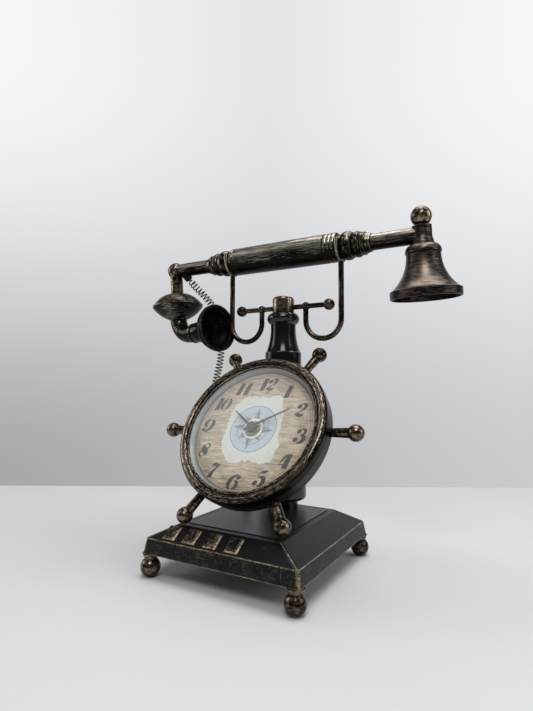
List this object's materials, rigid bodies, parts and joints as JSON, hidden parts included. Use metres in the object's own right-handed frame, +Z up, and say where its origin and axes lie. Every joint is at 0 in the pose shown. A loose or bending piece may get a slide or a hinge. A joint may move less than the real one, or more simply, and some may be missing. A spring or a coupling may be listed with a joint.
{
  "type": "telephone table clock",
  "caption": "Table clock in the shape of an old pedestal telephone: a column with a tilted, spoked clock drum and a handset that lifts off wire hooks on a coiled cord.",
  "frame": {"origin": "on the floor under the centre of the base", "axes": "+X towards the ear bell, +Y towards the back, +Z up"},
  "size_m": [0.2706, 0.1261, 0.2578],
  "materials": {
    "black_paint": "satin black paint",
    "bronze_paint": "black paint dry-brushed with bronze",
    "steel": "plain",
    "steel_dark": "dark",
    "card": "matt",
    "dial_print": "matt print",
    "dark_strip": "matt",
    "crystal": "clear",
    "movement_plastic": "matt",
    "battery_jacket": "gloss",
    "board": "satin",
    "copper_wire": "enamelled copper",
    "gear_plastic": "matt",
    "hand_paint": "matt black",
    "cord_wire": "satin black"
  },
  "bodies": {
    "stand": {"base_shell": "black_paint", "base_plate": "black_paint", "deck_plate": "black_paint", "pedestal": "black_paint", "column": "black_paint", "drum_case": "black_paint", "cord_socket_base": "black_paint", "foot_front_left": "bronze_paint", "foot_front_right": "bronze_paint", "foot_back_left": "bronze_paint", "foot_back_right": "bronze_paint", "key_tablets": "bronze_paint", "column_cap": "bronze_paint", "crossbar": "bronze_paint", "hook_left": "bronze_paint", "hook_right": "bronze_paint", "fork_left": "bronze_paint", "fork_right": "bronze_paint", "bezel": "bronze_paint", "spoke_1": "bronze_paint", "spoke_2": "bronze_paint", "spoke_3": "bronze_paint", "spoke_4": "bronze_paint", "spoke_5": "bronze_paint", "spoke_6": "bronze_paint", "foot_nuts": "steel", "tie_rod": "steel", "tie_nut": "steel", "drum_screws": "steel", "battery_contacts": "steel", "dial_nut": "steel_dark", "dial_seat_ring": "card", "dial": "dial_print", "dial_ring": "dark_strip", "glass": "crystal", "movement_case": "movement_plastic", "movement_cover": "movement_plastic", "battery": "battery_jacket", "circuit_board": "board", "motor_coil": "copper_wire", "cord": "cord_wire"},
    "handset": {"ear_bell": "bronze_paint", "bell_finial": "bronze_paint", "handset_tube": "bronze_paint", "grip": "black_paint", "collar_right": "bronze_paint", "collar_left": "bronze_paint", "elbow": "black_paint", "saucer_top": "bronze_paint", "saucer_bottom": "bronze_paint", "lower_elbow": "black_paint", "mouthpiece_collar": "bronze_paint", "mouthpiece_cup": "black_paint", "cord_socket_handset": "black_paint"},
    "minute": {"minute_arbor": "gear_plastic", "minute_hand": "hand_paint"},
    "hour": {"hour_wheel": "gear_plastic", "hour_hand": "hand_paint"},
    "motion": {"motion_wheel": "gear_plastic"},
    "setting": {"setting_knob": "movement_plastic"}
  },
  "joints": [
    {"name": "handset_lift", "type": "slide", "parent": "stand", "child": "handset", "axis": [0, 0, 1], "range_m": [0, 0.1], "deforming": ["cord"]},
    {"name": "minute_turn", "type": "hinge", "parent": "stand", "child": "minute", "pos_m": [0, -0.00953, 0.0975], "axis": [0, 0.8448, -0.5351], "continuous": true},
    {"name": "hour_turn", "type": "hinge", "parent": "stand", "child": "hour", "pos_m": [0, -0.00953, 0.0975], "axis": [0, 0.8448, -0.5351], "continuous": true},
    {"name": "motion_turn", "type": "hinge", "parent": "stand", "child": "motion", "pos_m": [0.007, -0.00953, 0.0975], "axis": [0, 0.8448, -0.5351], "continuous": true},
    {"name": "setting_turn", "type": "hinge", "parent": "stand", "child": "setting", "pos_m": [0.014, -0.00953, 0.0975], "axis": [0, 0.8448, -0.5351], "continuous": true}
  ],
  "couplings": [
    {"joint": "hour_turn", "follows": "minute_turn", "ratio": 0.083333},
    {"joint": "motion_turn", "follows": "minute_turn", "ratio": -0.33333},
    {"joint": "setting_turn", "follows": "minute_turn", "ratio": 1}
  ]
}
